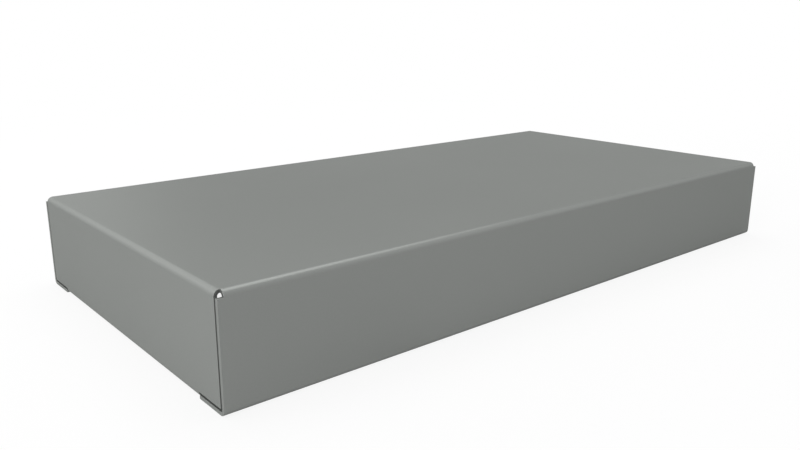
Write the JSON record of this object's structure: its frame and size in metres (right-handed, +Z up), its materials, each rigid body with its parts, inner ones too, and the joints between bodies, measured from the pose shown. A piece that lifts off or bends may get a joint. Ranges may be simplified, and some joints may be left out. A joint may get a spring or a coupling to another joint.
{
  "type": "sheet metal chassis",
  "caption": "Rectangular chassis folded from one sheet of steel: flat top, four walls and lips turned in round an open underside.",
  "frame": {"origin": "centre of the footprint, in the plane that the lips stand on", "axes": "+X along the length, +Y from the front wall to the rear wall, +Z up from the lips to the top panel"},
  "size_m": [0.4, 0.2, 0.05],
  "materials": {
    "sheet": "smooth satin grey coat over sheet steel"
  },
  "bodies": {
    "root": {"chassis": "sheet"}
  },
  "joints": []
}
